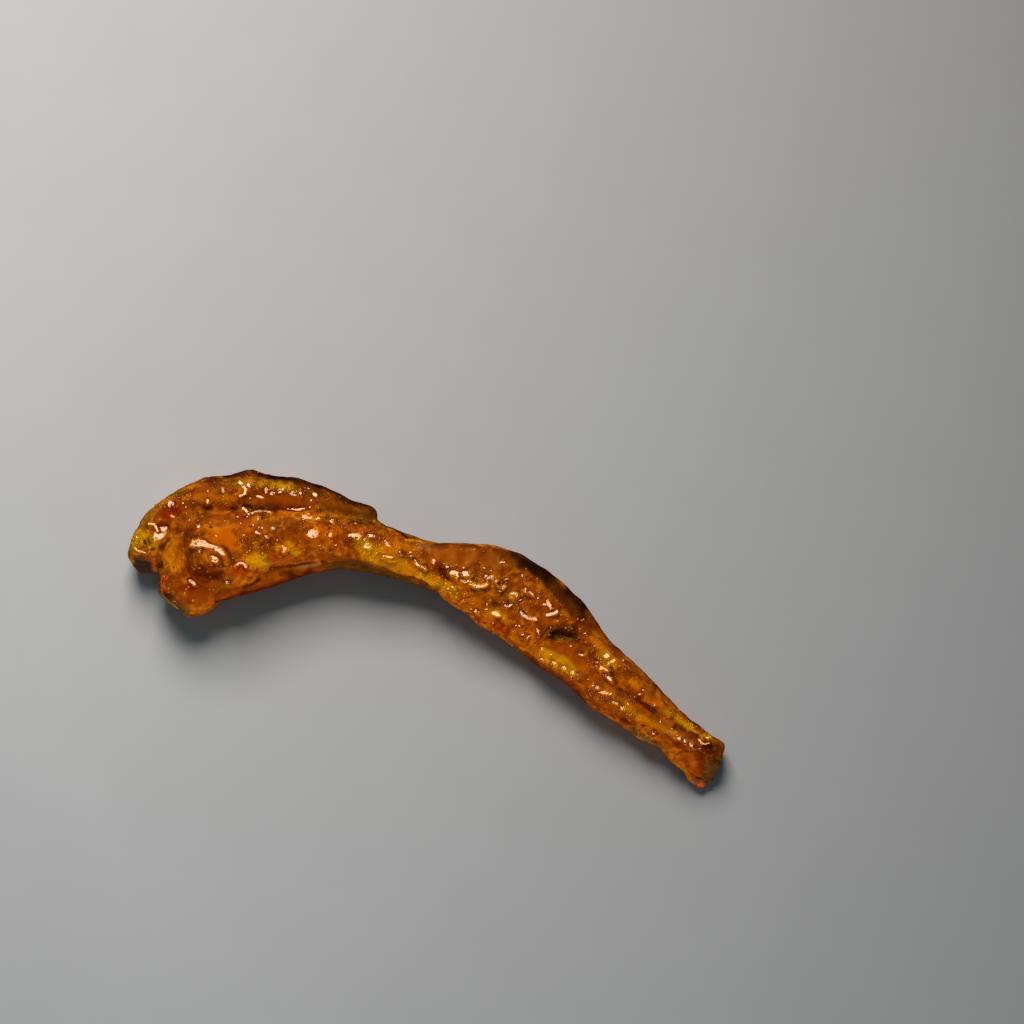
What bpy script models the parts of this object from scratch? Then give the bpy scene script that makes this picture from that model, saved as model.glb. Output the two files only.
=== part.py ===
"""A marinated lamb rib, lying on its cut side as it would on a worktop.

Two solids: "meat" is the loin, the fat flap beside it and the long blade of meat, with the marinade's
crags and seeds on it. "bone" is the rib bone, which shows along the hollow side of the bow and at both
chopped ends, and runs through the meat between them.

Lengths are in millimetres and MM turns them into metres. +Z is up and the rib rests on z = 0. The head
lies at -X, the tip at +X and -Y, and the bone keeps to the hollow side of the bow, towards -Y.
"""

import math
from collections import namedtuple

import bmesh
import bpy
from mathutils import Vector, noise
from mathutils.bvhtree import BVHTree

MM = 0.001

# Driving sizes, in millimetres.
BONE_GAP = 0.3  # clearance all round the bone
FUSE_VOXEL = 1.0  # grid on which the lobes of meat grow together
SEED_RADIUS = 1.15  # black seeds, swollen by the marinade
FLOOR_DEPTH = 30.0  # height of the block that trims the underside flat
FLOOR_SPREAD = 400.0  # length and width of that block, larger than the rib
DROP_HEIGHT = 60.0  # from where the seeds are dropped

MEAT_TRIANGLES = 8000
LOFT_STEPS = 4  # rings for each span between two stations
LOFT_SIDES = 24
BONE_STEPS = 2
BONE_SIDES = 12
SMOOTHING_PASSES = 4
SHARP_ANGLE = 40.0  # degrees between two faces from where their edge stays sharp

# One cross-section of a lobe: its centre, its half width across the lobe and its half height.
Station = namedtuple("Station", "x y z wide high")

# The main muscle, "meat": loin at the head, a narrow waist, then the blade, broad at first, to the chopped tip.
BODY = [
    Station(-93.0, 26.5, 12.0, 4.0, 6.0),
    Station(-87.5, 27.0, 13.0, 9.5, 11.0),
    Station(-78.5, 28.0, 13.6, 13.2, 14.1),
    Station(-68.0, 29.2, 13.6, 14.4, 14.4),
    Station(-55.5, 32.4, 13.2, 10.6, 13.6),
    Station(-43.0, 33.0, 12.8, 9.8, 12.2),
    Station(-30.5, 32.5, 12.5, 8.6, 10.2),
    Station(-18.0, 30.0, 12.5, 8.2, 8.6),
    Station(-8.5, 26.5, 12.2, 7.4, 7.4),
    Station(0.5, 24.0, 11.5, 7.4, 7.0),
    Station(10.5, 20.5, 10.2, 10.6, 7.4),
    Station(24.0, 15.0, 8.8, 14.4, 8.0),
    Station(35.8, 8.0, 7.8, 14.8, 8.0),
    Station(46.5, -1.0, 7.2, 13.8, 7.7),
    Station(56.5, -11.0, 6.8, 11.4, 7.3),
    Station(66.5, -20.0, 6.6, 10.6, 7.1),
    Station(77.5, -28.8, 6.6, 9.4, 7.0),
    Station(88.6, -37.6, 6.6, 7.8, 6.8),
    Station(96.8, -44.9, 6.4, 8.3, 6.7),
    Station(104.0, -49.6, 6.3, 8.6, 6.4),
]

# The lobes that grow together with the main muscle.
LOBES = {}

# Round the chopped backbone, below the loin.
LOBES["chine"] = [
    Station(-82.0, 26.0, 12.5, 8.6, 11.0),
    Station(-84.3, 18.5, 10.9, 10.2, 11.2),
    Station(-82.6, 12.4, 10.1, 10.8, 10.0),
    Station(-81.6, 7.8, 9.4, 7.6, 8.0),
    Station(-80.8, 5.0, 8.5, 3.4, 5.0),
]

# The fat flap that wraps the loin from the knob at the far left to its square-cut end.
LOBES["flap"] = [
    Station(-100.2, 16.5, 8.4, 4.8, 7.0),
    Station(-100.0, 21.5, 8.8, 5.4, 8.0),
    Station(-99.4, 26.0, 9.3, 6.4, 8.9),
    Station(-97.2, 32.5, 10.0, 6.8, 9.8),
    Station(-91.6, 38.4, 10.8, 6.8, 10.8),
    Station(-85.4, 43.0, 11.2, 6.8, 11.4),
    Station(-77.6, 45.8, 11.4, 7.2, 11.9),
    Station(-67.5, 46.8, 11.4, 7.6, 11.9),
    Station(-56.0, 46.8, 11.4, 7.8, 11.3),
    Station(-45.0, 45.6, 11.2, 7.2, 10.4),
    Station(-35.0, 43.6, 10.8, 6.0, 9.0),
    Station(-27.0, 41.4, 10.5, 4.4, 7.0),
    Station(-20.5, 40.4, 10.3, 3.3, 5.6),
    Station(-14.4, 39.4, 10.2, 2.9, 5.0),
]

# The shoulder where the flap grows out of the loin, so that the crease between them starts shallow.
LOBES["shoulder"] = [
    Station(-93.5, 31.0, 10.5, 3.0, 7.0),
    Station(-88.5, 34.0, 11.5, 5.0, 11.4),
    Station(-81.0, 38.6, 12.0, 5.4, 12.2),
    Station(-70.0, 41.0, 12.0, 3.6, 10.6),
]

# Rough bits of skin that peep out past the flap.
LOBES["skin_left"] = [
    Station(-81.0, 51.6, 8.0, 1.6, 2.6),
    Station(-77.8, 52.8, 8.0, 1.8, 3.0),
    Station(-74.6, 51.8, 8.0, 1.4, 2.4),
]
LOBES["skin_middle"] = [
    Station(-70.6, 53.0, 7.5, 1.2, 2.0),
    Station(-66.5, 54.4, 7.5, 1.9, 2.8),
    Station(-61.5, 54.8, 7.5, 1.7, 2.6),
    Station(-57.4, 53.2, 7.5, 1.3, 2.2),
]
LOBES["skin_right"] = [
    Station(-53.4, 52.4, 7.5, 1.3, 2.4),
    Station(-45.5, 51.0, 7.6, 2.0, 3.0),
    Station(-36.5, 48.4, 7.8, 2.0, 2.8),
    Station(-28.0, 44.2, 8.2, 1.6, 2.4),
    Station(-19.4, 41.4, 8.6, 1.2, 2.0),
]

# A ragged shred that hangs from the lower corner of the chopped tip.
LOBES["tip_shred"] = [
    Station(93.5, -51.6, 3.6, 1.8, 2.0),
    Station(97.5, -54.6, 3.2, 2.4, 2.0),
    Station(100.2, -55.4, 2.8, 1.5, 1.5),
]

# The rib bone, from the chopped backbone along the hollow side of the bow to the tip.
BONE = [
    Station(-97.4, 6.2, 9.2, 4.4, 4.8),
    Station(-89.4, 12.2, 9.4, 4.6, 5.0),
    Station(-83.0, 14.6, 9.6, 5.0, 5.6),
    Station(-76.0, 14.9, 9.8, 5.0, 5.4),
    Station(-66.0, 17.2, 10.0, 4.8, 5.0),
    Station(-55.5, 20.2, 10.4, 4.8, 4.8),
    Station(-43.0, 24.2, 10.6, 4.6, 4.6),
    Station(-30.5, 26.3, 10.8, 4.5, 4.6),
    Station(-18.0, 24.6, 10.6, 4.5, 4.6),
    Station(-6.0, 21.2, 10.2, 4.3, 4.4),
    Station(5.0, 17.2, 9.4, 4.2, 4.2),
    Station(16.0, 12.0, 8.4, 4.0, 3.9),
    Station(26.8, 4.8, 7.6, 3.8, 3.6),
    Station(38.0, -3.4, 7.0, 3.7, 3.5),
    Station(48.5, -11.8, 6.7, 3.6, 3.4),
    Station(58.8, -19.6, 6.6, 3.6, 3.4),
    Station(69.0, -26.4, 6.5, 3.6, 3.4),
    Station(79.7, -34.2, 6.4, 3.7, 3.6),
    Station(90.0, -42.4, 6.3, 4.0, 3.8),
    Station(98.6, -48.6, 5.9, 4.3, 4.0),
    Station(108.4, -55.0, 5.7, 4.4, 4.0),
]

# The butcher's cuts: a point of each cut face, the compass heading that the face looks in and how far it
# leans back from upright, both in degrees, with the size of the face and the lobes that it goes through.
Chop = namedtuple("Chop", "name x y z heading lean size lobes")
CHOPS = [
    Chop("knob_end", -101.5, 22.9, 9.0, -93, 27, 30, ["flap"]),
    Chop("flap_end", -18.6, 40.5, 10.0, 4, 8, 20, ["flap"]),
    Chop("chine_end", -89.5, 8.2, 9.0, -130, 10, 24, ["chine", "bone"]),
    Chop("tip_end", 97.0, -50.0, 6.6, -90, 54, 30, ["meat", "bone"]),
    Chop("tip_side", 103.4, -49.2, 6.2, -22, 3, 30, ["meat", "bone"]),
]

# Relief on the upper side: how far it rises (or sinks, below 0), how wide it is, and the line it follows.
Relief = namedtuple("Relief", "name rise width line")
RELIEF = [
    Relief("knob_crease", -1.8, 1.6, [(-94.5, 21), (-93.5, 26), (-90, 31)]),
    Relief("loin_crease", -1.4, 1.6, [(-84, 38), (-75, 42), (-64, 42.8), (-52, 42), (-29, 40), (-20, 38)]),
    Relief("chine_valley", -2.2, 2.3, [(-85, 33), (-85.5, 27), (-84.5, 22), (-79, 18.6), (-70, 19.5)]),
    Relief("joint_dome", 1.8, 4.6, [(-77.2, 25.4)]),
    Relief("joint_bump", 1.5, 1.6, [(-76.2, 25)]),
    Relief("loin_dome", 1.4, 6.0, [(-76, 35), (-68, 37)]),
    Relief("blade_hollow", -1.8, 3.2, [(48.5, -1)]),
    Relief("blade_dip", -1.2, 6.0, [(27, 12.5), (33, 8)]),
    Relief("bone_ridge", 1.7, 2.0, [(40.5, -9), (51, -18), (61.5, -26), (76, -31), (87, -37), (97, -41)]),
    Relief("fat_ridge", 1.6, 1.8, [(60.5, -4), (70.5, -15), (81, -26), (92, -34), (103, -39.5)]),
    Relief("tip_groove", -1.6, 1.6, [(70.5, -21.5), (77.5, -26), (86, -31.5), (95.5, -37)]),
]

# Crags of the marinade: the size of a lump and how far it stands out, in millimetres.
CRAGS = [(9.0, 0.8), (4.0, 0.6)]

# Where the marinade's black seeds lie, seen from above.
SEEDS = [
    (-99.9, 31.0), (-79.3, 41.6), (-86.8, 32.8), (-76.1, 36.6), (-58.4, 39.6), (-58.0, 28.0), (-34.2, 28.4),
    (-34.6, 36.0), (-27.6, 37.6), (-69.0, 49.0), (-44.0, 46.5), (-84.5, 13.0), (-68.0, 21.8), (-9.5, 29.0),
    (3.8, 14.6), (17.5, 24.0), (27.2, 24.6), (28.6, 17.2), (31.0, 11.4), (12.5, 17.0), (38.5, -6.0),
    (47.0, 1.5), (51.0, 0.2), (54.2, -17.6), (62.0, -12.0), (74.0, -24.0), (88.5, -36.5),
]
SEED_SINK = 0.35  # share of a seed's radius that lies below the surface

Look = namedtuple("Look", "colour roughness")
MEAT_LOOK = Look((0.25, 0.055, 0.004, 1.0), 0.3)
BONE_LOOK = Look((0.46, 0.22, 0.035, 1.0), 0.35)


def clear_scene():
    for thing in list(bpy.data.objects):
        bpy.data.objects.remove(thing, do_unlink=True)


def new_collection(name):
    collection = bpy.data.collections.new(name)
    bpy.context.scene.collection.children.link(collection)
    return collection


def catmull_rom(a, b, c, d, t):
    """The value a share t of the way from b to c, on a smooth curve that comes from a and goes on to d."""
    return 0.5 * (
        2 * b + (c - a) * t + (2 * a - 5 * b + 4 * c - d) * t**2 + (3 * b - a - 3 * c + d) * t**3
    )


def smooth_stations(stations, steps):
    """The stations with more of them between, all on one smooth curve."""
    padded = [stations[0], *stations, stations[-1]]
    rows = []
    for i in range(len(stations) - 1):
        for k in range(steps):
            sizes = zip(*padded[i : i + 4])
            rows.append(Station(*(catmull_rom(*four, k / steps) for four in sizes)))
    return [*rows, stations[-1]]


def rounded(value, squareness):
    """A circle's sine or cosine, pushed towards a rounded square."""
    return math.copysign(abs(value) ** (2 / squareness), value)


def loft(name, stations, steps, sides, squareness=2.3, grow=0.0):
    """A closed tube through the stations, thickened all round by grow, in millimetres."""
    rows = smooth_stations(stations, steps)
    mesh = bmesh.new()
    rings = []
    for i, row in enumerate(rows):
        ahead, behind = rows[min(i + 1, len(rows) - 1)], rows[max(i - 1, 0)]
        along = Vector((ahead.x - behind.x, ahead.y - behind.y, 0)).normalized()
        across = Vector((-along.y, along.x, 0))
        centre = Vector((row.x, row.y, row.z))
        ring = []
        for k in range(sides):
            angle = 2 * math.pi * k / sides
            out = (row.wide + grow) * rounded(math.cos(angle), squareness)
            up = (row.high + grow) * rounded(math.sin(angle), squareness)
            ring.append(mesh.verts.new((centre + across * out + Vector((0, 0, up))) * MM))
        rings.append(ring)
    for first, second in zip(rings, rings[1:]):
        for k in range(sides):
            n = (k + 1) % sides
            mesh.faces.new((first[k], first[n], second[n], second[k]))
    mesh.faces.new(rings[0][::-1])
    mesh.faces.new(rings[-1])
    bmesh.ops.recalc_face_normals(mesh, faces=mesh.faces)
    return object_of(name, mesh)


def object_of(name, mesh):
    data = bpy.data.meshes.new(name)
    mesh.to_mesh(data)
    mesh.free()
    return bpy.data.objects.new(name, data)


def applied(thing):
    """Replaces the object's mesh by what its modifiers make of it."""
    graph = bpy.context.evaluated_depsgraph_get()
    data = bpy.data.meshes.new_from_object(thing.evaluated_get(graph))
    thing.modifiers.clear()
    thing.data = data


def cut(thing, cutter):
    difference = thing.modifiers.new(cutter.name, "BOOLEAN")
    difference.operation = "DIFFERENCE"
    difference.object = cutter


def chop_block(chop):
    """The block that is cut away, with one face where the knife went."""
    heading = math.radians(chop.heading)
    lean = math.radians(chop.lean)
    level = math.cos(lean)
    outward = Vector((math.cos(heading) * level, math.sin(heading) * level, math.sin(lean)))
    bpy.ops.mesh.primitive_cube_add(
        size=chop.size * MM,
        location=(Vector((chop.x, chop.y, chop.z)) + outward * chop.size / 2) * MM,
        rotation=outward.to_track_quat("X", "Z").to_euler(),
    )
    block = bpy.context.object
    block.name = chop.name
    return block


def chop_lobes(lobes):
    """Cuts the lobes with all the chops that go through them, and gives back the blocks."""
    blocks = []
    for chop in CHOPS:
        block = chop_block(chop)
        blocks.append(block)
        for name in chop.lobes:
            if name in lobes:
                cut(lobes[name], block)
    return blocks


def fuse(meat, lobes):
    """One skin over the meat and the lobes, which grow into each other where they overlap."""
    group = new_collection("lobes")
    for lobe in lobes:
        group.objects.link(lobe)
    union = meat.modifiers.new("lobes", "BOOLEAN")
    union.operation = "UNION"
    union.operand_type = "COLLECTION"
    union.collection = group
    remesh = meat.modifiers.new("one skin", "REMESH")
    remesh.mode = "VOXEL"
    remesh.voxel_size = FUSE_VOXEL * MM
    smooth = meat.modifiers.new("soft creases", "SMOOTH")
    smooth.factor = 0.5
    smooth.iterations = SMOOTHING_PASSES
    applied(meat)
    for lobe in list(lobes):
        bpy.data.objects.remove(lobe, do_unlink=True)
    bpy.data.collections.remove(group)


def distance_to_line(x, y, line):
    """How far the point lies from a line of points, or from its one point."""
    point = Vector((x, y))
    if len(line) == 1:
        return (point - Vector(line[0])).length
    best = math.inf
    for start, end in zip(line, line[1:]):
        a, b = Vector(start), Vector(end)
        share = (point - a).dot(b - a) / (b - a).length_squared
        best = min(best, (point - a.lerp(b, min(1.0, max(0.0, share)))).length)
    return best


def relief_at(x, y):
    """The height that the relief lines add at a point of the upper side."""
    return sum(
        relief.rise * math.exp(-((distance_to_line(x, y, relief.line) / relief.width) ** 2))
        for relief in RELIEF
    )


def carve(meat):
    """Raises the ridges, sinks the creases and adds the marinade's crags."""
    moves = []
    for vertex in meat.data.vertices:
        place = vertex.co / MM
        upward = max(0.0, vertex.normal.z)
        rise = relief_at(place.x, place.y) * upward
        for size, height in CRAGS:
            rise += height * noise.noise(place / size)
        moves.append(vertex.normal * rise * MM)
    for vertex, move in zip(meat.data.vertices, moves):
        vertex.co += move


def simplify(meat):
    """Fewer, larger triangles, which follow the surface as closely as that many can."""
    meat.data.calc_loop_triangles()
    decimate = meat.modifiers.new("fewer faces", "DECIMATE")
    decimate.ratio = MEAT_TRIANGLES / len(meat.data.loop_triangles)
    decimate.use_collapse_triangulate = True
    applied(meat)


def add_seeds(meat):
    """Drops the seeds on to the meat and joins them to it."""
    tree = BVHTree.FromObject(meat, bpy.context.evaluated_depsgraph_get())
    group = new_collection("seeds")
    for i, (x, y) in enumerate(SEEDS):
        hit, normal, _, _ = tree.ray_cast(Vector((x, y, DROP_HEIGHT)) * MM, Vector((0, 0, -1)))
        place = hit + normal * SEED_RADIUS * (1 - 2 * SEED_SINK) * MM
        mesh = bmesh.new()
        bmesh.ops.create_uvsphere(mesh, u_segments=6, v_segments=4, radius=SEED_RADIUS * MM)
        bmesh.ops.translate(mesh, vec=place, verts=mesh.verts)
        group.objects.link(object_of(f"seed_{i}", mesh))
    union = meat.modifiers.new("seeds", "BOOLEAN")
    union.operation = "UNION"
    union.operand_type = "COLLECTION"
    union.collection = group
    applied(meat)
    for seed in list(group.objects):
        bpy.data.objects.remove(seed, do_unlink=True)
    bpy.data.collections.remove(group)


def floor_block():
    """The block below z = 0 that trims the underside to the flat it rests on."""
    bpy.ops.mesh.primitive_cube_add(size=1, location=(0, 0, -FLOOR_DEPTH * MM / 2))
    block = bpy.context.object
    block.name = "floor_block"
    block.scale = (FLOOR_SPREAD * MM, FLOOR_SPREAD * MM, FLOOR_DEPTH * MM)
    return block


def keep_as_cutter(thing):
    thing.hide_render = True
    thing.display_type = "WIRE"


def paint(thing, name, look):
    material = bpy.data.materials.new(name)
    material.use_nodes = True
    shader = material.node_tree.nodes["Principled BSDF"]
    shader.inputs["Base Color"].default_value = look.colour
    shader.inputs["Roughness"].default_value = look.roughness
    shader.inputs["Metallic"].default_value = 0.0
    thing.data.materials.clear()
    thing.data.materials.append(material)
    thing.data.shade_smooth()
    thing.data.set_sharp_from_angle(angle=math.radians(SHARP_ANGLE))


def build():
    clear_scene()
    rib = new_collection("marinated_lamb_rib")
    cutters = new_collection("cutters")

    meat = loft("meat", BODY, LOFT_STEPS, LOFT_SIDES)
    bone = loft("bone", BONE, BONE_STEPS, BONE_SIDES)
    lobes = {name: loft(name, stations, LOFT_STEPS, LOFT_SIDES) for name, stations in LOBES.items()}
    rib.objects.link(meat)
    rib.objects.link(bone)

    blocks = chop_lobes({"meat": meat, "bone": bone, **lobes})
    fuse(meat, lobes.values())
    carve(meat)
    simplify(meat)
    add_seeds(meat)

    channel = loft("bone_channel", BONE, BONE_STEPS, BONE_SIDES, grow=BONE_GAP)
    cutters.objects.link(channel)
    floor = floor_block()
    cut(meat, channel)
    cut(meat, floor)
    for cutter in (*blocks, channel, floor):
        keep_as_cutter(cutter)

    paint(meat, "marinated_meat", MEAT_LOOK)
    paint(bone, "rib_bone", BONE_LOOK)


build()
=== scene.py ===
"""Looks of the marinated lamb rib: a wet skin over the meat, the stained bone, spices, floor and light.

Lengths are in metres in the frame of the part. Places on the rib are given as pixels of the photograph,
which looks straight down: at_photo() turns them into x and y. Each list of such places is given one by one.
"""

import math

import bmesh
import bpy
import numpy as np
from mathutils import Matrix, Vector, noise
from mathutils.bvhtree import BVHTree
from mathutils.kdtree import KDTree


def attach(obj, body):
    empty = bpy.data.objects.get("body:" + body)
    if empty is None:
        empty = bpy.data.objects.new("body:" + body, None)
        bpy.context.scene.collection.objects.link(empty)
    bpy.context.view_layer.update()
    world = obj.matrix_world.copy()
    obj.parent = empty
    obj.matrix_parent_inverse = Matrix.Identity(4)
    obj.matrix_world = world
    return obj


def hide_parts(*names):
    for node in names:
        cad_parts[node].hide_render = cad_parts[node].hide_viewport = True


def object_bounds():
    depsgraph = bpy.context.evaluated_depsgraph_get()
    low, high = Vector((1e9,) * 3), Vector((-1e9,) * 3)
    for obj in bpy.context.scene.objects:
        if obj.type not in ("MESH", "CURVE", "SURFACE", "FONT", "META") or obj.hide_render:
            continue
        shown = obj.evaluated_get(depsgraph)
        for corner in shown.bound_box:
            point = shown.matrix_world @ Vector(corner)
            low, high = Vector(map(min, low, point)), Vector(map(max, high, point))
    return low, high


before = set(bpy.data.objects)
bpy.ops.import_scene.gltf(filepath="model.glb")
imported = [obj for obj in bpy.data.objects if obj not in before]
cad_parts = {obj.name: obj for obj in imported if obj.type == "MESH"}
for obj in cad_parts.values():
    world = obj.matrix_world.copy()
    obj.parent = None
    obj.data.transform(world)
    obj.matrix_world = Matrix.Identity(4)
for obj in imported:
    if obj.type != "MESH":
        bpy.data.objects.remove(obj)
CAD_LOW, CAD_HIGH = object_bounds()
PART = bpy.data.collections.new("part")
bpy.context.scene.collection.children.link(PART)

MM = 0.001

# The photograph: its scale, the pixel over the part's origin, and its width.
PIXEL = 0.355 * MM
ORIGIN_PIXEL = (426.4, 629.3)
PHOTO_SIZE = 1024
CAMERA_HEIGHT = 1.0
SHARP_HEIGHT = 10 * MM  # the height above the floor at which a pixel measures exactly PIXEL
SENSOR = 36.0

# The floor: its size, its tone at the part's origin, how much it darkens for each metre towards +X and +Y,
# which is a painted fall-off of the light, the darkest and the palest that it gets, and its tint.
FLOOR_SIZE = 4.0
FLOOR_TONE = 0.75
FLOOR_LIGHT_FALLOFF = (1.01, 0.56)
FLOOR_DARKEST = 0.28
FLOOR_PALEST = 0.91
FLOOR_TINT = (0.88, 0.885, 1.0)

# A softbox beyond the part, a bounce card on the near side that lights the part alone, and a dim room.
KEY_PLACE = (-0.09, 0.74, 0.67)
KEY_SIZE = 0.45
KEY_POWER = 8.8
KEY_COLOUR = (1.0, 0.93, 0.8)
CARD_PLACE = (0.02, -0.62, 0.26)
CARD_SIZE = 0.6
CARD_POWER = 4.5
CARD_COLOUR = (1.0, 0.98, 0.96)
ROOM_LIGHT = 0.084
ROOM_COLOUR = (0.48, 0.92, 0.88)

# The fine skins: size of their cells, rounds of smoothing, swelling in millimetres, and share of the lumps.
# The meat's is coarse below, twice as fine where it shows from above, and finer still in the pools.
MEAT_VOXEL = 0.96 * MM
MEAT_PASSES = 5
FINE_PASSES = 3
MEAT_SWELL = 0.15
MEAT_ROUGH = 1.0
BONE_VOXEL = 0.5 * MM
BONE_PASSES = 10
BONE_SWELL = 0.4
BONE_ROUGH = 0.6
BONE_GRAIN = 0.6  # share of the fine grain in the bone's colour and surface
STEEPEST = -0.1  # a slope shows from above while its normal's Z is over this
OFF_SKIN = 0.3 * MM  # how far off the skin the search for what lies over it starts
# Size of the lumps in the sauce and how far they rise, both in millimetres.
LUMPS = [(7.0, 0.30), (3.6, 0.22), (1.8, 0.13)]
CRACKLE = (1.5, 0.07)
CRACKLE_WARP = 0.4 * MM
HOLLOW_ROUNDS = 25  # how many rings of neighbours the darkening of the hollows looks at: partly sauce gathered there, partly painted shade
HOLLOW_SHADE_DEPTH = (0.02, 0.26)  # depth in millimetres at which that darkening starts and is full
CREST_LIGHT_HEIGHT = (0.05, 0.3)  # the same for the paler crests, which are painted light


def srgb(red, green, blue):
    """A colour as it is seen, from 0 to 255, as linear light."""
    shares = [value / 255 for value in (red, green, blue)]
    return tuple(s / 12.92 if s <= 0.04045 else ((s + 0.055) / 1.055) ** 2.4 for s in shares)


RUST = srgb(152, 62, 3)
BROWN = srgb(138, 54, 3)
AMBER = srgb(192, 96, 5)
GOLD = srgb(222, 122, 6)
ORANGE = srgb(208, 98, 3)
RED_ORANGE = srgb(178, 62, 2)
HONEY = srgb(208, 124, 5)
YELLOW = srgb(232, 158, 6)
OLIVE_FAT = srgb(160, 102, 4)
UMBER = srgb(128, 62, 3)
OLIVE = srgb(90, 52, 12)
MOSS = srgb(108, 72, 30)
DARK = srgb(88, 18, 3)
RED = srgb(140, 24, 2)
MAROON = srgb(60, 20, 5)
BLOOD = srgb(32, 6, 2)
LILAC = srgb(156, 108, 64)
MAUVE = srgb(96, 60, 44)
PALE = srgb(180, 126, 60)
CUT_END = srgb(60, 41, 29)
OILY = srgb(255, 190, 60)  # the sauce's own highlights
GLINT = srgb(255, 216, 114)
BLACK = (0.0, 0.0, 0.0)
MOTTLE = 0.3  # how strong the mottling of the sauce is
DARKER_IS_REDDER = (1.0, 1.35, 1.2)  # powers of the mottling for red, green and blue
CHARRING = 0.7  # how strong the dark patches on the far side are

BAND_EDGE = (0.4, 1.3)  # where a band of colour starts to fade and has ended, as shares of its half width
BAND_WARP = 1.2 * MM  # how ragged it is, at the most
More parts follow.
